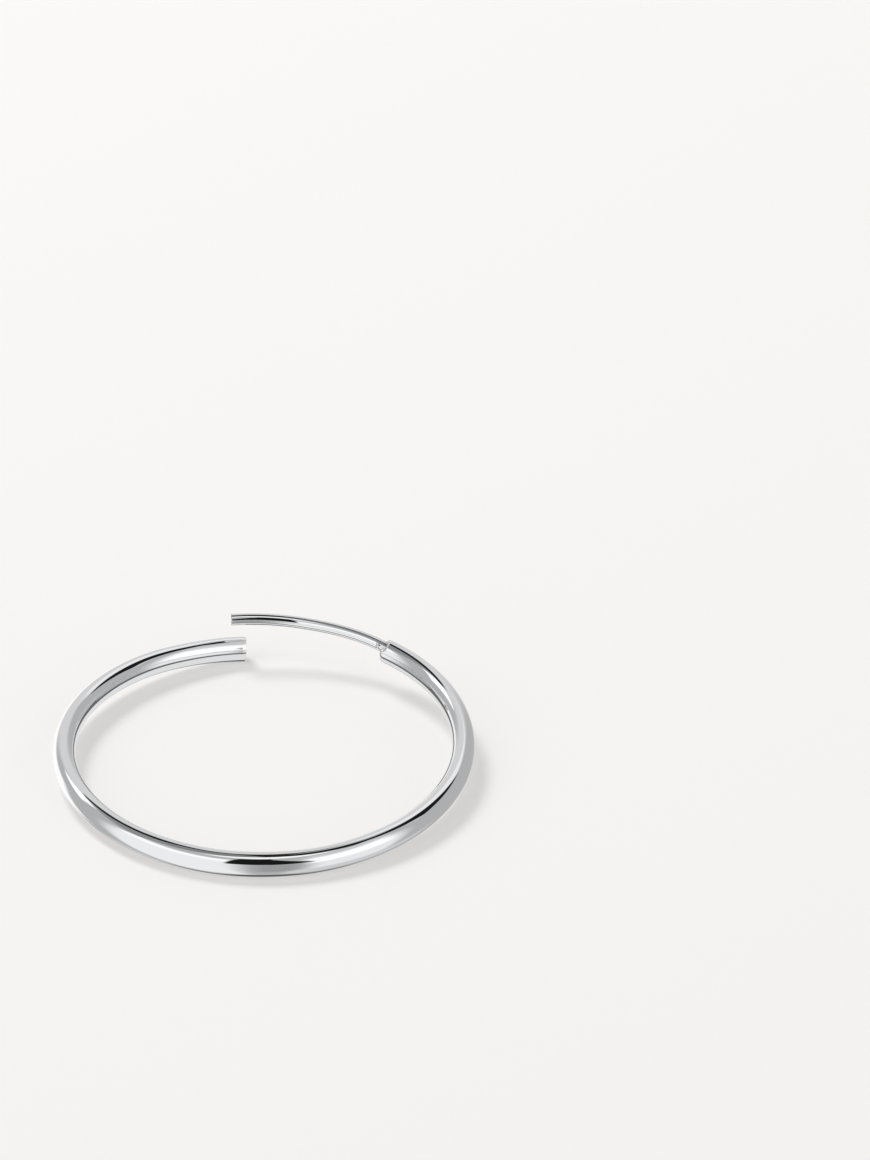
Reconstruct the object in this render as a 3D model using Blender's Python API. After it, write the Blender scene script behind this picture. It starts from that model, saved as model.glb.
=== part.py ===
"""Endless hoop earring in polished silver, sprung open and lying on its side.

The hoop is a thin-walled tube bent to most of a turn. Its mouth is cut square and open. Its other end is
drawn in and pinched round the root of a thin ear wire, which runs back over the mouth. The hoop rests on the
underside of its mouth and of its front stretch, so its pinched end stands a little above the surface.

Units are metres, +Z is up, and the origin is at the bottom centre of the hoop's box.
"""

import math
from typing import NamedTuple

import bmesh
import bpy
from mathutils import Vector

# Driving dimensions of the tube
HOOP_RADIUS = 0.0166       # centre line of the tube, seen from above
TUBE_WIDTH = 0.00185       # across the tube, towards the middle of the hoop
TUBE_HEIGHT = 0.0021       # across the tube, up from the surface: bending makes a tube slightly oval
TUBE_WALL = 0.00018
MOUTH_ANGLE = math.radians(97.6)     # where the open end lies, counted from +X
TUBE_SWEEP = math.radians(316.0)     # how far round the tube goes from its mouth
MOUTH_SPREAD = 0.00052     # how far the open end stands outside the circle
ROOT_LIFT = 0.00224        # how far the pinched end stands above the stretch that rests
MOUTH_GAIN = 0.00017       # how much taller the open end is than the rest of the tube
MOUTH_GAIN_LENGTH = 0.0055           # along the tube, from full gain to none

# The pinched end of the tube
SHOULDER_LENGTH = 0.0004   # rounded stretch at the very end
SHOULDER_DRAW = 0.00008    # how far that stretch is drawn in
PINCH_LENGTH = 0.0008      # each of the two opposed dents, along the tube
PINCH_DEPTH = 0.0001
PINCH_ANGLE = math.radians(118)      # where the upper dent is, counted from the outward side
PINCH_SPREAD = math.radians(36)      # half the angle that a dent takes of the tube's section

# Driving dimensions of the ear wire
WIRE_DIAMETER = 0.001
WIRE_CLEARANCE = 0.00012   # round the wire, inside the pinched end
WIRE_SEAT = 0.003          # how much of the wire is inside the tube
WIRE_SEAT_OUT = 0.00009    # how far the seated wire lies outside the middle of the tube
WIRE_SEAT_UP = 0.00019     # how far it lies above that middle
WIRE_SWEEP = math.radians(48.1)      # how far round the free wire goes
WIRE_TIP_LIFT = 0.00089    # how far the tip stands above the pinched end
WIRE_TIP_SPREAD = 0.00048  # how far the tip stands further out than the pinched end
TIP_ROUND = 0.0002

# How finely the round forms are divided
TUBE_SIDES = 20
WIRE_SIDES = 12
TUBE_STEPS = 72
SHOULDER_STEPS = 3
PINCH_STEPS = 4
SEAT_STEPS = 3
WIRE_STEPS = 22

# Early share of the way that the wire gains in height and in reach, above a straight rise
LIFT_EASE = 0.75
SPREAD_EASE = 0.3
WIRE_SETTLES = 0.6         # share of the free wire over which its offset in the seat dies out


class Station(NamedTuple):
    """One place along the tube: share of its sweep, of MOUTH_SPREAD and of ROOT_LIFT."""

    along: float
    spread: float
    lift: float


TUBE_COURSE = (
    Station(along=0.00, spread=1.00, lift=0.00),
    Station(along=0.06, spread=0.37, lift=0.23),
    Station(along=0.11, spread=0.00, lift=0.36),
    Station(along=0.17, spread=-0.24, lift=0.41),
    Station(along=0.22, spread=-0.29, lift=0.40),
    Station(along=0.33, spread=-0.10, lift=0.26),
    Station(along=0.44, spread=0.08, lift=0.08),
    Station(along=0.53, spread=0.15, lift=0.00),
    Station(along=0.58, spread=0.15, lift=0.00),
    Station(along=0.67, spread=0.08, lift=0.11),
    Station(along=0.78, spread=-0.08, lift=0.38),
    Station(along=0.89, spread=-0.20, lift=0.72),
    Station(along=1.00, spread=0.00, lift=1.00),
)


def clear_scene():
    """Empty the scene that the script is run in."""
    for thing in list(bpy.data.objects):
        bpy.data.objects.remove(thing, do_unlink=True)


def smooth_slopes(places, values):
    """Slopes for a smooth curve through the values that never overshoots them."""
    rises = [
        (values[i + 1] - values[i]) / (places[i + 1] - places[i])
        for i in range(len(places) - 1)
    ]
    slopes = [rises[0]]
    for before, after in zip(rises, rises[1:]):
        level = before * after <= 0
        slopes.append(0.0 if level else 2 * before * after / (before + after))
    slopes.append(rises[-1])
    return slopes


def smooth_value(places, values, place):
    """Read a smooth curve through the values at one place."""
    slopes = smooth_slopes(places, values)
    last = len(places) - 2
    i = next((k for k in range(last) if place < places[k + 1]), last)
    span = places[i + 1] - places[i]
    t = (place - places[i]) / span
    return (
        values[i] * (1 + 2 * t) * (1 - t) ** 2
        + slopes[i] * span * t * (1 - t) ** 2
        + values[i + 1] * t * t * (3 - 2 * t)
        + slopes[i + 1] * span * t * t * (t - 1)
    )


def polar(radius, angle, height):
    """A point at a distance from the hoop's axis."""
    return Vector((radius * math.cos(angle), radius * math.sin(angle), height))


def fade(share):
    """Fall smoothly from 1 at no share to 0 at a whole one."""
    share = min(share, 1.0)
    return 1.0 - share * share * (3 - 2 * share)


def mouth_gain(share):
    """How much taller the tube is at a share of its sweep."""
    return MOUTH_GAIN * fade(share * TUBE_SWEEP * HOOP_RADIUS / MOUTH_GAIN_LENGTH)


def tube_centre(share):
    """Middle of the tube at a share of its sweep."""
    places = [station.along for station in TUBE_COURSE]
    spread = smooth_value(places, [station.spread for station in TUBE_COURSE], share)
    lift = smooth_value(places, [station.lift for station in TUBE_COURSE], share)
    radius = HOOP_RADIUS + spread * MOUTH_SPREAD
    height = (TUBE_HEIGHT + mouth_gain(share)) / 2 + lift * ROOT_LIFT
    return polar(radius, MOUTH_ANGLE + share * TUBE_SWEEP, height)


def eased(share, ease):
    """Share of a rise reached, with part of it moved early or late."""
    return (1 + ease) * share - ease * share * share


def wire_centre(share):
    """Middle of the free wire at a share of its sweep, from the pinched end."""
    root = tube_centre(1.0)
    radius = math.hypot(root.x, root.y) + eased(share, SPREAD_EASE) * WIRE_TIP_SPREAD
    height = root.z + eased(share, LIFT_EASE) * WIRE_TIP_LIFT
    return polar(radius, MOUTH_ANGLE + TUBE_SWEEP + share * WIRE_SWEEP, height)


def seat_share(depth):
    """Share of the tube's sweep that lies a length before its pinched end."""
    return 1.0 - depth / (HOOP_RADIUS * TUBE_SWEEP)


def tube_shares():
    """Shares at which the tube has a section, closer together at the pinched end."""
    shoulder = [SHOULDER_LENGTH * k / SHOULDER_STEPS for k in range(SHOULDER_STEPS)]
    pinch_rest = PINCH_LENGTH - SHOULDER_LENGTH
    pinch = [SHOULDER_LENGTH + pinch_rest * k / PINCH_STEPS for k in range(PINCH_STEPS + 1)]
    close = [seat_share(depth) for depth in shoulder + pinch]
    stop = min(close)
    even = [stop * k / TUBE_STEPS for k in range(TUBE_STEPS)]
    return even + sorted(close)


def frame_at(centre_of, share):
    """Middle, outward direction and upward direction of a section."""
    reach = 0.001
    ahead = centre_of(min(share + reach, 1.0))
    behind = centre_of(max(share - reach, 0.0))
    along = (ahead - behind).normalized()
    outward = along.cross(Vector((0, 0, 1))).normalized()
    return centre_of(share), outward, outward.cross(along)


def ring(centre, outward, upward, half_width, half_height, sides, dent=None):
    """Corners of one section, whose flats touch the oval of the given half sizes."""
    corners = []
    for k in range(sides):
        angle = math.tau * (k + 0.5) / sides
        inset = dent(angle) if dent else 0.0
        across = (half_width - inset) * math.cos(angle) / math.cos(math.pi / sides)
        up = (half_height - inset) * math.sin(angle) / math.cos(math.pi / sides)
        corners.append(centre + outward * across + upward * up)
    return corners


def pinch_inset(depth_along):
    """How deep the two dents are round the section, at a length before the tube's end."""
    depth = PINCH_DEPTH * max(0.0, 1.0 - depth_along / PINCH_LENGTH)

    def inset(angle):
        off_dent = abs(math.remainder(angle - PINCH_ANGLE, math.pi))
        return depth * max(0.0, 1.0 - off_dent / PINCH_SPREAD)

    return inset


def seated(centre, outward, upward, share):
    """Move the middle of a section towards where the wire lies in the tube."""
    return centre + (outward * WIRE_SEAT_OUT + upward * WIRE_SEAT_UP) * share


def shoulder_inset(depth_along):
    """How far the tube is drawn in at a length before its end: a quarter round."""
    inside = min(depth_along / SHOULDER_LENGTH, 1.0)
    return SHOULDER_DRAW * (1.0 - math.sqrt(1.0 - (1.0 - inside) ** 2))


def tube_sections():
    """Outer and inner sections of the tube, from its mouth to its pinched end."""
    hole = WIRE_DIAMETER / 2 + WIRE_CLEARANCE
    bore_width = TUBE_WIDTH / 2 - TUBE_WALL
    bore_height = TUBE_HEIGHT / 2 - TUBE_WALL
    outer, inner = [], []
    for share in tube_shares():
        centre, outward, upward = frame_at(tube_centre, share)
        before_end = (1.0 - share) * HOOP_RADIUS * TUBE_SWEEP
        draw = shoulder_inset(before_end)
        gain = mouth_gain(share) / 2
        outer.append(ring(
            centre, outward, upward,
            TUBE_WIDTH / 2 - draw, TUBE_HEIGHT / 2 + gain - draw,
            TUBE_SIDES, pinch_inset(before_end),
        ))
        narrowed = max(0.0, 1.0 - before_end / PINCH_LENGTH)
        inner.append(ring(
            seated(centre, outward, upward, narrowed), outward, upward,
            bore_width + (hole - bore_width) * narrowed,
            bore_height + gain + (hole - bore_height) * narrowed,
            TUBE_SIDES,
        ))
    return outer, inner


def wire_ring(centre_of, share, off_middle, radius):
    """One section of the wire, a share of its seat's offset away from the line that it follows."""
    centre, outward, upward = frame_at(centre_of, share)
    middle = seated(centre, outward, upward, off_middle)
    return ring(middle, outward, upward, radius, radius, WIRE_SIDES)


def wire_sections():
    """Sections of the ear wire, from its seat inside the tube to its tip."""
    sections = []
    radius = WIRE_DIAMETER / 2
    start = seat_share(WIRE_SEAT)
    for k in range(SEAT_STEPS):
        share = start + (1.0 - start) * k / SEAT_STEPS
        sections.append(wire_ring(tube_centre, share, 1.0, radius))
    round_share = TIP_ROUND / (HOOP_RADIUS * WIRE_SWEEP)
    for k in range(WIRE_STEPS + 1):
        share = (1.0 - round_share) * k / WIRE_STEPS
        sections.append(wire_ring(wire_centre, share, fade(share / WIRE_SETTLES), radius))
    sections.append(wire_ring(wire_centre, 1.0, 0.0, radius - TIP_ROUND))
    return sections


def skin(mesh, loops):
    """Join each loop of corners to the next one."""
    for near, far in zip(loops, loops[1:]):
        count = len(near)
        for k in range(count):
            after = (k + 1) % count
            mesh.faces.new((near[k], near[after], far[after], far[k]))


def finish_object(name, mesh, material):
    """Turn the modelled mesh into a named object with its material."""
    bmesh.ops.recalc_face_normals(mesh, faces=mesh.faces)
    data = bpy.data.meshes.new(name)
    mesh.to_mesh(data)
    mesh.free()
    data.materials.append(material)
    data.shade_smooth()
    data.set_sharp_from_angle(angle=math.radians(40))
    piece = bpy.data.objects.new(name, data)
    bpy.context.scene.collection.objects.link(piece)
    return piece


def silver(name, roughness):
    """Polished silver."""
    material = bpy.data.materials.new(name)
    material.use_nodes = True
    shader = material.node_tree.nodes["Principled BSDF"]
    shader.inputs["Base Color"].default_value = (0.93, 0.93, 0.92, 1.0)
    shader.inputs["Metallic"].default_value = 1.0
    shader.inputs["Roughness"].default_value = roughness
    return material


def build_hoop_tube():
    """The hollow tube: an outer skin, a bore, a flat rim at the mouth and one round the wire."""
    mesh = bmesh.new()
    outer, inner = tube_sections()
    outer_loops = [[mesh.verts.new(corner) for corner in section] for section in outer]
    inner_loops = [[mesh.verts.new(corner) for corner in section] for section in inner]
    skin(mesh, outer_loops)
    skin(mesh, inner_loops[::-1])
    skin(mesh, [inner_loops[0], outer_loops[0]])
    skin(mesh, [outer_loops[-1], inner_loops[-1]])
    return finish_object("hoop_tube", mesh, silver("tube_silver", 0.05))


def build_ear_wire():
    """The solid ear wire, flat at its seated end and slightly rounded at its tip."""
    mesh = bmesh.new()
    loops = [[mesh.verts.new(corner) for corner in section] for section in wire_sections()]
    skin(mesh, loops)
    mesh.faces.new(loops[0][::-1])
    mesh.faces.new(loops[-1])
    return finish_object("ear_wire", mesh, silver("wire_silver", 0.07))


def centre_on_origin(pieces):
    """Move the pieces so that the bottom centre of their common box is at the origin."""
    corners = [corner.co for piece in pieces for corner in piece.data.vertices]
    low = Vector([min(corner[axis] for corner in corners) for axis in range(3)])
    high = Vector([max(corner[axis] for corner in corners) for axis in range(3)])
    middle = (low + high) / 2
    for piece in pieces:
        piece.location = -Vector((middle.x, middle.y, low.z))


clear_scene()
centre_on_origin([build_hoop_tube(), build_ear_wire()])
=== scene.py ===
"""Looks of an endless hoop earring in polished silver, sprung open and lying on its side.

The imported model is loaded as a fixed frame. A fine hollow tube and a fine ear wire then stand for its two
nodes, each spun round the hoop's axis and laid along the sprung course. The finish, the pale surface, the
soft studio light and the camera complete the picture. Units are metres and +Z is up.
"""

from __future__ import annotations

import logging
import math
from dataclasses import dataclass, field
from enum import Enum
from functools import lru_cache

import bmesh
import bpy
from mathutils import Euler, Matrix, Vector

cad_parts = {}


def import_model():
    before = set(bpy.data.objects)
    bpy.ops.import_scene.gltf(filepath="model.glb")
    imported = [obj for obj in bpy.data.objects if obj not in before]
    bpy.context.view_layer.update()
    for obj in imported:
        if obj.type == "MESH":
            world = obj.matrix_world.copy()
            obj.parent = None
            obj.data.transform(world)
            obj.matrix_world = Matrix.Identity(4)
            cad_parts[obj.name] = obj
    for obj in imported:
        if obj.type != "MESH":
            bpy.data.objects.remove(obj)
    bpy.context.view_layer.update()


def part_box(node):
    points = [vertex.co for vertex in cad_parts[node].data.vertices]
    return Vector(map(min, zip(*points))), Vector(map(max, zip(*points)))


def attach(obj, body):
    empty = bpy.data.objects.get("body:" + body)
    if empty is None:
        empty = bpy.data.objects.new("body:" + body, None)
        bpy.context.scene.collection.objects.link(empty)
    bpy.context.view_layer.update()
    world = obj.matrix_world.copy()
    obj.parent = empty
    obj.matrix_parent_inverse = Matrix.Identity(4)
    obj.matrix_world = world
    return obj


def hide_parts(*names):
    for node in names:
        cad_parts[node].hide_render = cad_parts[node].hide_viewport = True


LOG = logging.getLogger("hoop")
MM = 0.001
SAME_ANGLE = 1e-5
SMOOTH_UNDER = math.radians(38)


class Polish(Enum):
    """How far a silver surface was worked."""

    BUFFED = "buffed"
    DRAWN = "drawn"
    CUT = "cut"


@dataclass(frozen=True)
class Station:
    """One place along the tube.

    Args:
        along: Share of the tube's sweep, from its open mouth.
        spread: Share of the distance that the mouth stands outside the circle.
        lift: Share of the height that the pinched end stands above the surface.
    """

    along: float
    spread: float
    lift: float


@dataclass(frozen=True)
class SprungCourse:
    """Line that the hoop follows: the tube from its mouth, then the ear wire over the gap."""

    radius: float = 16.6 * MM
    rest_height: float = 1.05 * MM
    mouth_angle: float = math.radians(97.6)
    tube_sweep: float = math.radians(316.0)
    mouth_spread: float = 0.52 * MM
    root_lift: float = 2.24 * MM
    mouth_gain: float = 0.17 * MM
    mouth_gain_length: float = 5.5 * MM
    wire_sweep: float = math.radians(48.1)
    wire_seat: tuple[float, float] = (0.09 * MM, 0.19 * MM)
    wire_settles: float = 0.6
    tip_lift: float = 0.89 * MM
    tip_spread: float = 0.48 * MM
    lift_ease: float = 0.75
    spread_ease: float = 0.3
    stations: tuple[Station, ...] = (
        Station(along=0.00, spread=1.00, lift=0.00),
        Station(along=0.06, spread=0.37, lift=0.23),
        Station(along=0.11, spread=0.00, lift=0.36),
        Station(along=0.17, spread=-0.24, lift=0.41),
        Station(along=0.22, spread=-0.29, lift=0.40),
        Station(along=0.33, spread=-0.10, lift=0.26),
        Station(along=0.44, spread=0.08, lift=0.08),
        Station(along=0.53, spread=0.15, lift=0.00),
        Station(along=0.58, spread=0.15, lift=0.00),
        Station(along=0.67, spread=0.08, lift=0.11),
        Station(along=0.78, spread=-0.08, lift=0.38),
        Station(along=0.89, spread=-0.20, lift=0.72),
        Station(along=1.00, spread=0.00, lift=1.00),
    )

    @staticmethod
    def slopes(places: list[float], values: list[float]) -> list[float]:
        """Find slopes for a smooth curve that never overshoots its values.

        Args:
            places: Where the values are, in rising order.
            values: The values there.

        Returns:
            One slope for each place.
        """
        rises = [
            (values[i + 1] - values[i]) / (places[i + 1] - places[i])
            for i in range(len(places) - 1)
        ]
        inner = [
            0.0 if before * after <= 0 else 2 * before * after / (before + after)
            for before, after in zip(rises, rises[1:])
        ]
        return [rises[0], *inner, rises[-1]]

    def read(self, values: list[float], place: float) -> float:
        """Read a smooth curve through one value for each station.

        Args:
            values: One value for each station.
            place: Share of the tube's sweep.

        Returns:
            The value at that place.
        """
        places = [station.along for station in self.stations]
        slopes = self.slopes(places, values)
        last = len(places) - 2
        i = next((k for k in range(last) if place < places[k + 1]), last)
        span = places[i + 1] - places[i]
        t = (place - places[i]) / span
        return (
            values[i] * (1 + 2 * t) * (1 - t) ** 2
            + slopes[i] * span * t * (1 - t) ** 2
            + values[i + 1] * t * t * (3 - 2 * t)
            + slopes[i + 1] * span * t * t * (t - 1)
        )

    def centre(self, turn: float) -> Vector:
        """Find the middle of the tube or wire.

        Args:
            turn: Angle round the hoop's axis, counted from the tube's mouth.

        Returns:
            The point, with the hoop's axis at the origin.
        """
        share = min(turn / self.tube_sweep, 1.0)
        spread = self.read([station.spread for station in self.stations], share)
        lift = self.read([station.lift for station in self.stations], share)
        radius = self.radius + spread * self.mouth_spread
        height = self.rest_height + self.gain(turn) / 2 + lift * self.root_lift
        beyond = max(turn - self.tube_sweep, 0.0) / self.wire_sweep
        radius += self.eased(beyond, self.spread_ease) * self.tip_spread
        height += self.eased(beyond, self.lift_ease) * self.tip_lift
        angle = self.mouth_angle + turn
        return Vector((radius * math.cos(angle), radius * math.sin(angle), height))

    @staticmethod
    def eased(share: float, ease: float) -> float:
        """Share of a rise reached, with part of it moved early."""
        return (1 + ease) * share - ease * share * share

    @staticmethod
    def fade(share: float) -> float:
        """Fall smoothly from 1 at no share to 0 at a whole one."""
        share = min(max(share, 0.0), 1.0)
        return 1.0 - share * share * (3 - 2 * share)

    def gain(self, turn: float) -> float:
        """How much taller the tube is near its mouth, at an angle counted from the mouth."""
        return self.mouth_gain * self.fade(turn * self.radius / self.mouth_gain_length)

    def wire_offset(self, turn: float) -> Vector:
        """How far out and up the wire lies off the course, at an angle counted from the mouth."""
        beyond = max(turn - self.tube_sweep, 0.0) / self.wire_sweep
        return Vector(self.wire_seat) * self.fade(beyond / self.wire_settles)

    @lru_cache(maxsize=4096)
    def section(self, turn: float) -> Matrix:
        """Find where a section lies.

        Args:
            turn: Angle round the hoop's axis, counted from the tube's mouth.

        Returns:
            A matrix whose columns are outward, upward, along and the middle of the section.
        """
        reach = 0.004
        along = (self.centre(turn + reach) - self.centre(turn - reach)).normalized()
        outward = along.cross(Vector((0, 0, 1))).normalized()
        upward = outward.cross(along)
        placed = Matrix((outward, upward, along)).transposed().to_4x4()
        placed.translation = self.centre(turn)
        return placed


@dataclass(frozen=True)
class Grain:
    """A noise drawn out along the length of a piece.

    Args:
        stretch: Scale of the noise along the piece against across it, under 1 for long grains.
        size: Width of a grain.
        detail: Detail of the noise.
    """

    stretch: float
    size: float
    detail: float


@dataclass(frozen=True)
class SilverFinish:
    """Silver whose polish, haze, hairlines and slow ripple follow the length of the piece.

    Args:
        polish: How far the surface was worked, which names the material too.
        tint: Colour of the metal seen straight on.
        shade_tint: Colour of the painted shade where the metal is closed in: in the tube's bore, in its
            dents and on the wire by the tube.
        roughness: Roughness of the best polished places.
        haze: How much rougher the hazy places are.
        hairline_depth: Depth of the fine lines that buffing leaves along the piece.
        ripple_depth: Depth of the slow unevenness that bends a reflected line.
        hazy_between: Values of the haze's noise where the haze starts and where it is full.
        haze_grain: Patches of haze.
        ripple_grain: Waves of the ripple.
        hairline_grain: Spacing of the hairlines.
    """

    polish: Polish
    tint: tuple[float, float, float] = (0.918, 0.923, 0.935)
    shade_tint: tuple[float, float, float] = (0.42, 0.41, 0.40)
    roughness: float = 0.012
    haze: float = 0.025
    hairline_depth: float = 0.00015 * MM
    ripple_depth: float = 0.004 * MM
    hazy_between: tuple[float, float] = (0.35, 0.75)
    haze_grain: Grain = Grain(stretch=0.35, size=1.1 * MM, detail=3.0)
    ripple_grain: Grain = Grain(stretch=0.6, size=3.2 * MM, detail=1.0)
    hairline_grain: Grain = Grain(stretch=0.04, size=0.06 * MM, detail=2.0)

    @property
    def name(self) -> str:
        """Name of the material."""
        return f"{self.polish.value}_silver"

    def material(self) -> bpy.types.Material:
        """Make the material, once for each finish.

        Returns:
            The material.
        """
        known = bpy.data.materials.get(self.name)
        if known:
            return known
        made = bpy.data.materials.new(self.name)
        made.use_nodes = True
        tree = made.node_tree
        shader = tree.nodes["Principled BSDF"]
        shader.inputs["Metallic"].default_value = 1.0
        lie = tree.nodes.new("ShaderNodeAttribute")
        lie.attribute_name = "lie"
        shaded = tree.nodes.new("ShaderNodeAttribute")
        shaded.attribute_name = "painted_shade"
        # Painted shade: the base colour darkens towards the shade tint as the painted shade attribute
        # rises.
        tint = tree.nodes.new("ShaderNodeMix")
        tint.data_type = "RGBA"
        tint.inputs["A"].default_value = (*self.tint, 1.0)
        tint.inputs["B"].default_value = (*self.shade_tint, 1.0)
        tree.links.new(shaded.outputs["Fac"], tint.inputs["Factor"])
        tree.links.new(tint.outputs["Result"], shader.inputs["Base Color"])
        haze = self.noise(tree, lie, self.haze_grain)
        spread = tree.nodes.new("ShaderNodeMapRange")
        spread.inputs["From Min"].default_value = self.hazy_between[0]
        spread.inputs["From Max"].default_value = self.hazy_between[1]
        spread.inputs["To Min"].default_value = self.roughness
        spread.inputs["To Max"].default_value = self.roughness + self.haze
        tree.links.new(haze.outputs["Fac"], spread.inputs["Value"])
        tree.links.new(spread.outputs["Result"], shader.inputs["Roughness"])
        waves = self.noise(tree, lie, self.ripple_grain)
        ripple = self.relief(tree, waves, self.ripple_depth, None)
        lines = self.noise(tree, lie, self.hairline_grain)
        hairlines = self.relief(tree, lines, self.hairline_depth, ripple)
        tree.links.new(hairlines.outputs["Normal"], shader.inputs["Normal"])
        return made

    @staticmethod
    def noise(tree: bpy.types.NodeTree, lie: bpy.types.Node, grain: Grain) -> bpy.types.Node:
        """Add a noise that is drawn out along the piece.

        Args:
            tree: The material's nodes.
            lie: Node that reads where the surface lies along the piece.
            grain: Stretch, size and detail of the noise.

        Returns:
            The noise node.
        """
        placed = tree.nodes.new("ShaderNodeMapping")
        placed.inputs["Scale"].default_value = (grain.stretch, 1.0, 1.0)
        noise = tree.nodes.new("ShaderNodeTexNoise")
        noise.inputs["Scale"].default_value = 1.0 / grain.size
        noise.inputs["Detail"].default_value = grain.detail
        tree.links.new(lie.outputs["Vector"], placed.inputs["Vector"])
        tree.links.new(placed.outputs["Vector"], noise.inputs["Vector"])
        return noise

    @staticmethod
    def relief(
        tree: bpy.types.NodeTree,
        height: bpy.types.Node,
        depth: float,
        under: bpy.types.Node | None,
    ) -> bpy.types.Node:
        """Add a bump of a real depth.

        Args:
            tree: The material's nodes.
            height: Noise that gives the height.
            depth: Height between the noise's ends.
            under: Bump that this one lies on, if any.

        Returns:
            The bump node.
        """
        bump = tree.nodes.new("ShaderNodeBump")
        bump.inputs["Strength"].default_value = 1.0
        bump.inputs["Distance"].default_value = depth
        tree.links.new(height.outputs["Fac"], bump.inputs["Height"])
        if under:
            tree.links.new(under.outputs["Normal"], bump.inputs["Normal"])
        return bump


BUFFED_SILVER = SilverFinish(polish=Polish.BUFFED)
DRAWN_SILVER = SilverFinish(
    polish=Polish.DRAWN,
    roughness=0.03,
    haze=0.04,
    ripple_depth=0.002 * MM,
)
CUT_SILVER = SilverFinish(
    polish=Polish.CUT,
    tint=(0.80, 0.79, 0.78),
    roughness=0.28,
    haze=0.15,
    hairline_depth=0.004 * MM,
)


class SweptPiece:
    """A piece made of one round section, spun round the hoop's axis and laid along its course."""

    name: str
    course: SprungCourse
    start: float
    sweep: float

    def spin_section(self, half_width: float, half_height: float, sides: int, steps: int) -> None:
        """Add an oval section at the start and spin it round the hoop's axis, in edit mode.

        Args:
            half_width: Half of the section's width, towards the hoop's axis.
            half_height: Half of its height.
            sides: Corners of the section.
            steps: Steps of the spin.
        """
        bpy.ops.object.select_all(action="DESELECT")
        bpy.ops.mesh.primitive_circle_add(
            vertices=sides,
            radius=1.0,
            location=(0, 0, 0),
            rotation=(math.pi / 2, 0, 0),
            enter_editmode=True,
        )
        bpy.ops.transform.resize(value=(half_width, 1.0, half_height))
        bpy.ops.transform.translate(value=(self.course.radius, 0, 0))
        bpy.ops.mesh.spin(
            steps=steps, angle=-self.sweep, center=(0, 0, 0), axis=(0, 0, 1), use_auto_merge=False
        )
        bpy.ops.object.mode_set(mode="OBJECT")
        bpy.ops.object.transform_apply(location=True, rotation=True, scale=True)
        bpy.context.object.name = self.name
        bpy.context.object.data.name = self.name

    def swept(self, corner: Vector) -> float:
        """Angle that the spin has turned a corner by, with the gap's middle as the seam."""
        angle = math.atan2(corner.y, corner.x) % math.tau
        return angle - math.tau if angle > (self.sweep + math.tau) / 2 else angle

    def select_section(self, turned: float) -> None:
        """Select the edges that go round one end in edit mode, and not those across its wall.

        Args:
            turned: Angle that the spin has turned that end by.
        """
        mesh = bmesh.from_edit_mesh(bpy.context.object.data)
        bpy.ops.mesh.select_all(action="DESELECT")
        bpy.ops.mesh.select_mode(type="EDGE")
        for edge in mesh.edges:
            at_end = all(
                abs(self.swept(corner.co) - turned) < SAME_ANGLE for corner in edge.verts
            )
            near, far = (self.off_axis(corner.co).length for corner in edge.verts)
            across = abs(near - far) > 0.5 * edge.calc_length()
            edge.select_set(at_end and not across)
        bmesh.update_edit_mesh(bpy.context.object.data)

    def select_lengthwise(self, turned: float) -> None:
        """Select the edges that run along the piece beyond a place, in edit mode.

        Args:
            turned: Angle that the spin has turned that place by.
        """
        mesh = bmesh.from_edit_mesh(bpy.context.object.data)
        bpy.ops.mesh.select_all(action="DESELECT")
        bpy.ops.mesh.select_mode(type="EDGE")
        for edge in mesh.edges:
            near, far = sorted(self.swept(corner.co) for corner in edge.verts)
            edge.select_set(near > turned and far - near > SAME_ANGLE)
        bmesh.update_edit_mesh(bpy.context.object.data)

    def off_axis(self, corner: Vector) -> Vector:
        """Place of a corner in its section: outward and upward from the middle."""
        return Vector((math.hypot(corner.x, corner.y) - self.course.radius, corner.z))

    def shaped(
        self, turn: float, before_end: float, place: Vector
    ) -> tuple[float, Vector, float]:
        """Shape the plain section before it is laid: a piece gives its own.

        Args:
            turn: Angle of the section, counted from the tube's mouth; not used.
            before_end: Distance to the piece's far end; not used.
            place: Outward and upward place in the section.

        Returns:
            How far the corner goes back along the piece, its new place, and how much painted shade it
            takes.
        """
        return 0.0, place, 0.0

    def lay(self, piece: bpy.types.Object, shift: Vector) -> None:
        """Lay the spun piece along the sprung course, and note where each corner lies on it and how much
        painted shade it takes.

        Args:
            piece: The spun piece.
            shift: From the hoop's axis to the frame's origin.
        """
        mesh = piece.data
        lie = mesh.attributes.new("lie", "FLOAT_VECTOR", "POINT")
        # This attribute holds how much painted shade each corner takes.
        painted_shade = mesh.attributes.new("painted_shade", "FLOAT", "POINT")
        for i, corner in enumerate(mesh.vertices):
            turned = round(self.swept(corner.co), 7)
            before_end = (self.sweep - turned) * self.course.radius
            turn = self.start + turned
            back, place, shaded = self.shaped(turn, before_end, self.off_axis(corner.co))
            section = self.course.section(round(turn - back / self.course.radius, 7))
            lie.data[i].vector = (turned * self.course.radius, place.x, place.y)
            painted_shade.data[i].value = shaded
            corner.co = section @ Vector((place.x, place.y, 0.0)) + shift
        mesh.update()

    def face_out(self, piece: bpy.types.Object) -> None:
        """Point every face outwards and smooth all but the cut edges."""
        bpy.ops.object.select_all(action="DESELECT")
        piece.select_set(True)
        bpy.context.view_layer.objects.active = piece
        bpy.ops.object.mode_set(mode="EDIT")
        bpy.ops.mesh.select_all(action="SELECT")
        bpy.ops.mesh.normals_make_consistent(inside=False)
        bpy.ops.object.mode_set(mode="OBJECT")
        bpy.ops.object.shade_smooth_by_angle(angle=SMOOTH_UNDER)


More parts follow.
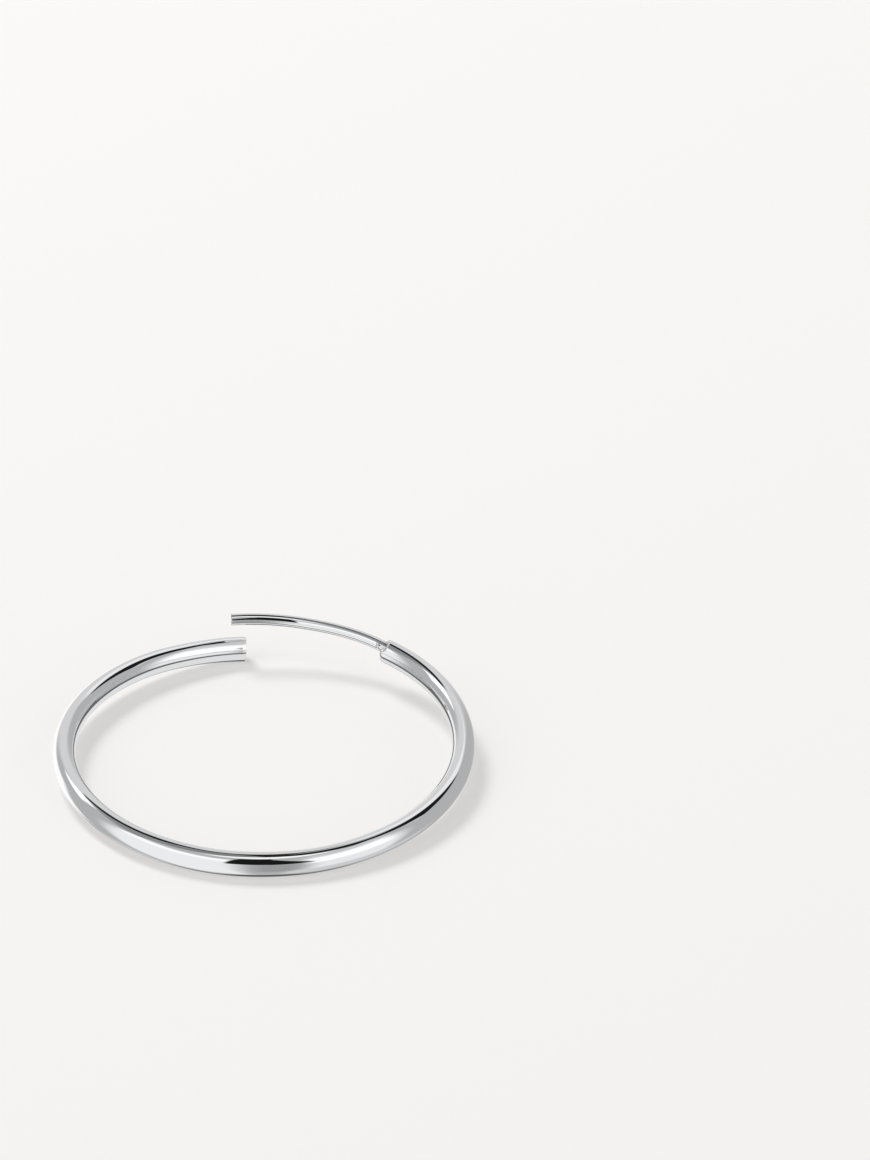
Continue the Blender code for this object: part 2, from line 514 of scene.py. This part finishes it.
@dataclass
class HoopTube(SweptPiece):
    """The hollow tube: mirror outside, raw bore, square mouth and an end pinched round the wire."""

    course: SprungCourse
    name: str = "polished_tube"
    width: float = 1.85 * MM
    height: float = 2.1 * MM
    wall: float = 0.18 * MM
    rim_round: float = 0.03 * MM
    rim_segments: int = 3
    sides: int = 64
    steps: int = 240
    fine_length: float = 1.3 * MM
    fine_cuts: int = 7
    shoulder_length: float = 0.4 * MM
    shoulder_draw: float = 0.12 * MM
    notch_angle: float = math.radians(118)
    notch_half_angle: float = math.radians(42)
    notch_length: float = 0.65 * MM
    notch_back: float = 0.32 * MM
    lip: float = 0.09 * MM
    wire_radius: float = 0.5 * MM
    bore_share: float = 0.4
    deep_bore: float = 4 * MM
    deep_bore_shade: float = 0.7
    mouth_bore_shade: float = 0.35
    notch_shade: float = 0.5
    start: float = field(init=False, default=0.0)
    sweep: float = field(init=False)

    def __post_init__(self) -> None:
        """Take the sweep from the course."""
        self.sweep = self.course.tube_sweep

    def build(self) -> bpy.types.Object:
        """Model the tube, still as a plain ring.

        Returns:
            The finished piece, not yet laid.
        """
        self.spin_section(self.width / 2, self.height / 2, self.sides, self.steps)
        piece = bpy.context.object
        bpy.ops.object.mode_set(mode="EDIT")
        self.select_lengthwise(self.sweep - self.fine_length / self.course.radius)
        bpy.ops.mesh.subdivide(number_cuts=self.fine_cuts)
        bpy.ops.mesh.select_all(action="SELECT")
        bpy.ops.mesh.normals_make_consistent(inside=False)
        bpy.ops.object.mode_set(mode="OBJECT")
        bpy.ops.object.modifier_add(type="SOLIDIFY")
        wall = piece.modifiers[-1]
        wall.thickness = self.wall
        wall.offset = -1.0
        wall.use_even_offset = True
        wall.use_rim = True
        wall.material_offset = 1
        wall.material_offset_rim = 0
        piece.data.materials.append(BUFFED_SILVER.material())
        piece.data.materials.append(CUT_SILVER.material())
        bpy.ops.object.modifier_apply(modifier=wall.name)
        for end in (0.0, self.sweep):
            bpy.ops.object.mode_set(mode="EDIT")
            self.select_section(end)
            bpy.ops.mesh.bevel(offset=self.rim_round, segments=self.rim_segments, profile=0.5)
            bpy.ops.object.mode_set(mode="OBJECT")
        return piece

    def shaped(
        self, turn: float, before_end: float, place: Vector
    ) -> tuple[float, Vector, float]:
        """Raise the mouth a little, draw the far end in with two dents pressed on to the wire, and paint
        shade in the bore and the dents.

        Args:
            turn: Angle of the section, counted from the tube's mouth.
            before_end: Distance to the pinched end.
            place: Outward and upward place in the section.

        Returns:
            How far the corner goes back along the tube, its new place, and how much painted shade it takes.
        """
        depth = place.length
        angle = math.atan2(place.y, place.x)
        skin = math.hypot(self.width / 2 * math.cos(angle), self.height / 2 * math.sin(angle))
        in_wall = min(max(1.0 - (skin - depth) / self.wall, 0.0), 1.0)
        if before_end > self.notch_length:
            raised = Vector((place.x, place.y * (1 + self.course.gain(turn) / self.height)))
            # Painted shade in the bore: lighter near the mouth, darker deeper in.
            deep = turn * self.course.radius > self.deep_bore
            bore_shade = self.deep_bore_shade if deep else self.mouth_bore_shade
            return 0.0, raised, bore_shade if in_wall < self.bore_share else 0.0
        before_end = max(before_end, 0.0)
        inside = min(before_end / self.shoulder_length, 1.0)
        drawn = self.shoulder_draw * (1.0 - math.sqrt(1.0 - (1.0 - inside) ** 2))
        nearness = 1.0 - before_end / self.notch_length
        off_notch = abs(math.remainder(angle - self.notch_angle, math.pi)) / self.notch_half_angle
        pressed = self.course.fade(off_notch) * self.course.fade(1.0 - nearness)
        plain = place * ((skin - drawn) / skin)
        seat = Vector(self.course.wire_seat)
        held = (plain - seat).normalized() * (self.wire_radius + self.lip * in_wall) + seat
        # Painted shade in the dents, as deep as they are pressed.
        return self.notch_back * pressed, plain.lerp(held, pressed), self.notch_shade * pressed

    def dress(self, piece: bpy.types.Object) -> None:
        """Let the tube stand for its node."""
        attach(piece, "root")
        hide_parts("hoop_tube")


@dataclass
class EarWire(SweptPiece):
    """The solid ear wire, held in the pinched end, with a rounded tip."""

    course: SprungCourse
    name: str = "polished_ear_wire"
    diameter: float = 1.0 * MM
    seated: float = 2.0 * MM
    tip_round: float = 0.24 * MM
    tip_segments: int = 5
    sides: int = 48
    steps: int = 180
    bead_height: float = 0.13 * MM
    bead_half_width: float = 0.15 * MM
    bead_along: float = 0.5 * MM
    bead_angle: float = math.radians(150)
    root_shade_length: float = 0.4 * MM
    root_shade: float = 0.5
    start: float = field(init=False)
    sweep: float = field(init=False)

    def __post_init__(self) -> None:
        """Start inside the tube and end at the tip."""
        seat = self.seated / self.course.radius
        self.start = self.course.tube_sweep - seat
        self.sweep = self.course.wire_sweep + seat

    def build(self) -> bpy.types.Object:
        """Model the wire, still as a plain arc.

        Returns:
            The finished piece, not yet laid.
        """
        radius = self.diameter / 2
        self.spin_section(radius, radius, self.sides, self.steps)
        piece = bpy.context.object
        for end in (0.0, self.sweep):
            bpy.ops.object.mode_set(mode="EDIT")
            self.select_section(end)
            bpy.ops.mesh.edge_face_add()
            bpy.ops.object.mode_set(mode="OBJECT")
        bpy.ops.object.mode_set(mode="EDIT")
        self.select_section(self.sweep)
        bpy.ops.mesh.bevel(offset=self.tip_round, segments=self.tip_segments, profile=0.5)
        bpy.ops.object.mode_set(mode="OBJECT")
        piece.data.materials.append(DRAWN_SILVER.material())
        return piece

    def shaped(
        self, turn: float, before_end: float, place: Vector
    ) -> tuple[float, Vector, float]:
        """Lay the wire on its seat in the pinch, raise the small bead of solder beside it, and paint shade
        on the wire by the tube.

        Args:
            turn: Angle of the section, counted from the tube's mouth.
            before_end: Distance to the tip; not used.
            place: Outward and upward place in the section.

        Returns:
            No move along the wire, the new place, and how much painted shade it takes.
        """
        beyond_root = (turn - self.course.tube_sweep) * self.course.radius
        moved = place + self.course.wire_offset(turn)
        off_bead = math.remainder(math.atan2(place.y, place.x) - self.bead_angle, math.tau)
        across = off_bead * self.diameter / 2 / self.bead_half_width
        along = (beyond_root - self.bead_along) / self.bead_half_width
        rise = math.exp(-along * along - across * across)
        if place.length > 0:
            moved += place.normalized() * self.bead_height * rise
        # Painted shade on the wire where it leaves the tube, fading away from it.
        shaded = max(0.0, 1.0 - max(beyond_root, 0.0) / self.root_shade_length)
        return 0.0, moved, self.root_shade * shaded

    def dress(self, piece: bpy.types.Object) -> None:
        """Let the wire stand for its node."""
        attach(piece, "root")
        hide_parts("ear_wire")


@dataclass(frozen=True)
class StudioCard:
    """A soft-edged card of the studio, as the hoop sees it. Angles are in degrees.

    Args:
        name: What the card is.
        azimuth: Middle, counted from the camera's side towards the right.
        elevation: Middle, above the horizon.
        half_width: Half of its width.
        half_height: Half of its height.
        edge: Width of its soft edge.
        light: Brightness.
        lean: How far the middle moves to the right for each degree of height.
    """

    name: str
    azimuth: float
    elevation: float
    half_width: float
    half_height: float
    edge: float
    light: float
    lean: float = 0.0


@dataclass
class Studio:
    """The pale surface and the soft light round it.

    Two flat glowing rings inside the hoop are painted reflections that show only in the metal: a dark one,
    and a bright one that reaches from there to the tube.
    """

    floor_size: float = 3.0
    floor_tint: tuple[float, float, float] = (0.637, 0.624, 0.613)
    floor_glow: float = 0.358
    glow_tint: tuple[float, float, float] = (1.0, 0.985, 0.965)
    ring_light: float = 0.78
    ring_edge_light: float = 0.15
    ring_radii: tuple[float, float, float] = (12.2 * MM, 13.9 * MM, 16.3 * MM)
    ring_lift: float = 0.01 * MM
    ring_sides: int = 128
    lamp_azimuth: float = -139.0
    lamp_elevation: float = 54.0
    lamp_distance: float = 1.2
    lamp_size: float = 0.46
    lamp_power: float = 6.6
    walls: float = 0.46
    cards: tuple[StudioCard, ...] = (
        StudioCard("behind", -172, 10, 28, 48, 20, 0.68),
        StudioCard("left_wall", -48, -12, 36, 62, 18, 0.90),
        StudioCard("right_wall", 51, -10, 25, 60, 16, 0.86),
        StudioCard("camera_column", 8, -16, 11, 30, 13, 0.34),
        StudioCard("right_low", 68, -56, 52, 15, 12, 0.64),
        StudioCard("left_behind_low", -140, -57, 34, 9, 8, 0.60),
        StudioCard("under", 0, -90, 181, 9, 8, 0.08),
        StudioCard("under_behind", 180, -80, 62, 14, 14, 0.10),
        StudioCard("left_behind_floor", -148, -20, 29, 20, 12, 1.05),
        StudioCard("left_white", -50, 40, 33, 9, 7, 1.05),
        StudioCard("right_white", 47, 21, 22, 18, 10, 1.10),
        StudioCard("right_high", 60, 58, 28, 7, 8, 0.62),
        StudioCard("right_behind", 160, 49, 18, 10, 6, 0.88),
        StudioCard("ceiling_white", 8, 79, 72, 8, 8, 1.05),
        StudioCard("back_window", -129, 38, 13, 9, 5, 1.15, -0.5),
        StudioCard("side_white", 103, 41, 9, 6, 6, 0.75),
        StudioCard("camera_side", -5, 41, 13, 25, 3, 0.01),
        StudioCard("camera_corner", 7, 36, 12, 21, 3, 0.01, -0.45),
        StudioCard("zenith_back", 138, 79, 54, 12, 4, 0.02),
        StudioCard("zenith_left", -128, 77, 42, 11, 6, 0.22),
        StudioCard("side_flag", 118, 56, 20, 20, 4, 0.01),
        StudioCard("back_grey", -118, 58, 34, 9, 8, 0.27),
        StudioCard("back_flag", -158, 54.5, 15, 9.5, 2, 0.02),
        StudioCard("behind_flag", -178, 62, 8, 9.5, 3, 0.02),
    )

    def build(self, hoop_axis: Vector) -> None:
        """Make the surface, the rings and the light.

        Args:
            hoop_axis: Where the hoop's axis stands.
        """
        self.lay_floor()
        inner, middle, outer = self.ring_radii
        # Painted reflections: glowing rings that only the metal sees.
        self.lay_ring("ring_edge", hoop_axis, inner, middle, self.ring_edge_light)
        self.lay_ring("ring_face", hoop_axis, middle, outer, self.ring_light)
        self.light_room()
        self.hang_lamp()

    @staticmethod
    def matt(
        name: str,
        tint: tuple[float, float, float],
        glow_tint: tuple[float, float, float],
        glow: float,
    ) -> bpy.types.Material:
        """Make a matt material that also glows.

        Args:
            name: Name of the material.
            tint: Colour that it gives back.
            glow_tint: Colour of its own light.
            glow: Brightness of its own light.

        Returns:
            The material.
        """
        made = bpy.data.materials.new(name)
        made.use_nodes = True
        shader = made.node_tree.nodes["Principled BSDF"]
        shader.inputs["Base Color"].default_value = (*tint, 1.0)
        shader.inputs["Roughness"].default_value = 1.0
        shader.inputs["Specular IOR Level"].default_value = 0.0
        shader.inputs["Emission Color"].default_value = (*glow_tint, 1.0)
        shader.inputs["Emission Strength"].default_value = glow
        return made

    def lay_floor(self) -> None:
        """Add the pale surface that the hoop lies on. The metal shows the studio instead of it."""
        bpy.ops.object.select_all(action="DESELECT")
        bpy.ops.mesh.primitive_plane_add(size=self.floor_size, location=(0, 0, 0))
        floor = bpy.context.object
        floor.name = "pale_surface"
        made = self.matt(floor.name, self.floor_tint, self.glow_tint, self.floor_glow)
        floor.data.materials.append(made)
        floor.visible_glossy = False

    def lay_ring(
        self, name: str, hoop_axis: Vector, inner: float, outer: float, light: float
    ) -> None:
        """Lay a flat glowing ring inside the hoop, a painted reflection which shows in the metal and
        nowhere else.

        Args:
            name: Name of the ring.
            hoop_axis: Where the hoop's axis stands.
            inner: Inner radius.
            outer: Outer radius.
            light: Brightness.
        """
        bpy.ops.object.select_all(action="DESELECT")
        bpy.ops.mesh.primitive_circle_add(
            vertices=self.ring_sides,
            radius=outer,
            fill_type="NGON",
            location=(hoop_axis.x, hoop_axis.y, self.ring_lift),
            enter_editmode=True,
        )
        bpy.ops.mesh.inset(thickness=outer - inner)
        bpy.ops.mesh.delete(type="FACE")
        bpy.ops.object.mode_set(mode="OBJECT")
        ring = bpy.context.object
        ring.name = name
        # Painted reflection: the ring is black and glows with its own light.
        made = self.matt(name, (0.0, 0.0, 0.0), (1.0, 1.0, 1.0), light)
        ring.data.materials.append(made)
        ring.visible_camera = False
        ring.visible_diffuse = False
        ring.visible_shadow = False

    def hang_lamp(self) -> None:
        """Hang the soft lamp that draws the shadows: the metal shows the cards instead of it."""
        azimuth = math.radians(self.lamp_azimuth)
        elevation = math.radians(self.lamp_elevation)
        towards = Vector((
            math.cos(elevation) * math.sin(azimuth),
            -math.cos(elevation) * math.cos(azimuth),
            math.sin(elevation),
        ))
        bpy.ops.object.light_add(type="AREA", location=towards * self.lamp_distance)
        lamp = bpy.context.object
        lamp.name = "soft_lamp"
        lamp.rotation_euler = towards.to_track_quat("Z", "Y").to_euler()
        lamp.data.shape = "DISK"
        lamp.data.size = self.lamp_size
        lamp.data.energy = self.lamp_power
        lamp.visible_glossy = False
        lamp.visible_camera = False

    def light_room(self) -> None:
        """Paint the studio's cards on the world by direction."""
        world = bpy.data.worlds.new("studio")
        bpy.context.scene.world = world
        world.use_nodes = True
        tree = world.node_tree
        around = tree.nodes.new("ShaderNodeTexCoord")
        parts = tree.nodes.new("ShaderNodeSeparateXYZ")
        tree.links.new(around.outputs["Generated"], parts.inputs["Vector"])
        forward = self.sum_of(tree, "MULTIPLY", parts.outputs["Y"], -1.0)
        azimuth = self.sum_of(tree, "ARCTAN2", parts.outputs["X"], forward)
        azimuth = self.sum_of(tree, "DEGREES", azimuth, 0.0)
        elevation = self.sum_of(tree, "ARCSINE", parts.outputs["Z"], 0.0)
        elevation = self.sum_of(tree, "DEGREES", elevation, 0.0)
        light = self.walls
        for card in self.cards:
            mixed = tree.nodes.new("ShaderNodeMix")
            mixed.label = card.name
            tree.links.new(self.covered(tree, card, azimuth, elevation), mixed.inputs["Factor"])
            if isinstance(light, float):
                mixed.inputs["A"].default_value = light
            else:
                tree.links.new(light, mixed.inputs["A"])
            mixed.inputs["B"].default_value = card.light
            light = mixed.outputs["Result"]
        tree.links.new(light, tree.nodes["Background"].inputs["Strength"])
        tree.nodes["Background"].inputs["Color"].default_value = (1.0, 1.0, 1.0, 1.0)

    def covered(
        self,
        tree: bpy.types.NodeTree,
        card: StudioCard,
        azimuth: bpy.types.NodeSocket,
        elevation: bpy.types.NodeSocket,
    ) -> bpy.types.NodeSocket:
        """Find how far a card covers each direction.

        Args:
            tree: The world's nodes.
            card: The card.
            azimuth: Azimuth of the direction.
            elevation: Elevation of the direction.

        Returns:
            The socket with the share.
        """
        off_height = self.sum_of(tree, "SUBTRACT", elevation, card.elevation)
        middle = self.sum_of(tree, "MULTIPLY", off_height, card.lean)
        middle = self.sum_of(tree, "ADD", middle, card.azimuth)
        off_side = self.sum_of(tree, "SUBTRACT", azimuth, middle)
        wrap = tree.nodes.new("ShaderNodeMath")
        wrap.operation = "WRAP"
        wrap.inputs[1].default_value = 180.0
        wrap.inputs[2].default_value = -180.0
        tree.links.new(off_side, wrap.inputs[0])
        across = self.inside(tree, wrap.outputs[0], card.half_width, card.edge)
        upright = self.inside(tree, off_height, card.half_height, card.edge)
        return self.sum_of(tree, "MULTIPLY", across, upright)

    @staticmethod
    def sum_of(
        tree: bpy.types.NodeTree,
        operation: str,
        first: bpy.types.NodeSocket | float,
        second: bpy.types.NodeSocket | float,
    ) -> bpy.types.NodeSocket:
        """Add one sum to the world's nodes.

        Args:
            tree: The world's nodes.
            operation: Blender's name of the sum.
            first: A socket or a number.
            second: A socket or a number.

        Returns:
            The socket with the result.
        """
        node = tree.nodes.new("ShaderNodeMath")
        node.operation = operation
        for slot, value in zip(node.inputs, (first, second)):
            if isinstance(value, (int, float)):
                slot.default_value = value
            else:
                tree.links.new(value, slot)
        return node.outputs[0]

    def inside(
        self,
        tree: bpy.types.NodeTree,
        off: bpy.types.NodeSocket,
        half: float,
        edge: float,
    ) -> bpy.types.NodeSocket:
        """Fade from 1 inside a card to 0 outside it.

        Args:
            tree: The world's nodes.
            off: Signed angle from the card's middle.
            half: Half of the card's size.
            edge: Width of its soft edge.

        Returns:
            The socket with the share.
        """
        fade = tree.nodes.new("ShaderNodeMapRange")
        fade.interpolation_type = "SMOOTHSTEP"
        fade.inputs["From Min"].default_value = half - edge / 2
        fade.inputs["From Max"].default_value = half + edge / 2
        fade.inputs["To Min"].default_value = 1.0
        fade.inputs["To Max"].default_value = 0.0
        tree.links.new(self.sum_of(tree, "ABSOLUTE", off, 0.0), fade.inputs["Value"])
        return fade.outputs["Result"]


@dataclass(frozen=True)
class Viewpoint:
    """The camera: where it stands, and how it is pitched, rolled and turned."""

    place: tuple[float, float, float] = (0.01397, -0.34071, 0.21235)
    pitch: float = math.radians(60.27)
    roll: float = math.radians(-0.55)
    heading: float = math.radians(0.31)
    lens: float = 150.0
    sensor: float = 36.0
    nearest: float = 0.01
    furthest: float = 20.0

    def build(self) -> bpy.types.Object:
        """Set the camera up.

        Returns:
            The camera.
        """
        data = bpy.data.cameras.new("viewpoint")
        data.lens = self.lens
        data.sensor_fit = "AUTO"
        data.sensor_width = self.sensor
        data.clip_start = self.nearest
        data.clip_end = self.furthest
        camera = bpy.data.objects.new("viewpoint", data)
        bpy.context.scene.collection.objects.link(camera)
        camera.location = self.place
        camera.rotation_euler = Euler((self.pitch, self.roll, self.heading))
        bpy.context.scene.camera = camera
        return camera


def shift_to_frame(course: SprungCourse) -> Vector:
    """Find how far the hoop's axis stands from the frame's origin, from the tube's node.

    Args:
        course: The line that the hoop follows.

    Returns:
        The shift from the course's own axis to the frame.
    """
    low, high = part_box("hoop_tube")
    steps = 360
    line = [course.centre(course.tube_sweep * k / steps) for k in range(steps + 1)]
    own_low = Vector([min(point[axis] for point in line) for axis in range(3)])
    own_high = Vector([max(point[axis] for point in line) for axis in range(3)])
    middle = (low + high - own_low - own_high) / 2
    return Vector((middle.x, middle.y, 0.0))


def main() -> None:
    """Build the hoop's pieces on the frame, then the studio and the camera."""
    logging.basicConfig(level=logging.INFO, format="%(name)s: %(message)s")
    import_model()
    course = SprungCourse()
    shift = shift_to_frame(course)
    for maker in (HoopTube(course), EarWire(course)):
        piece = maker.build()
        maker.lay(piece, shift)
        maker.face_out(piece)
        maker.dress(piece)
        LOG.info("%s: %d faces, on root", piece.name, len(piece.data.polygons))
    Studio().build(shift)
    Viewpoint().build()
    bpy.context.scene.view_settings.view_transform = "Standard"


if __name__ == "__main__":
    main()
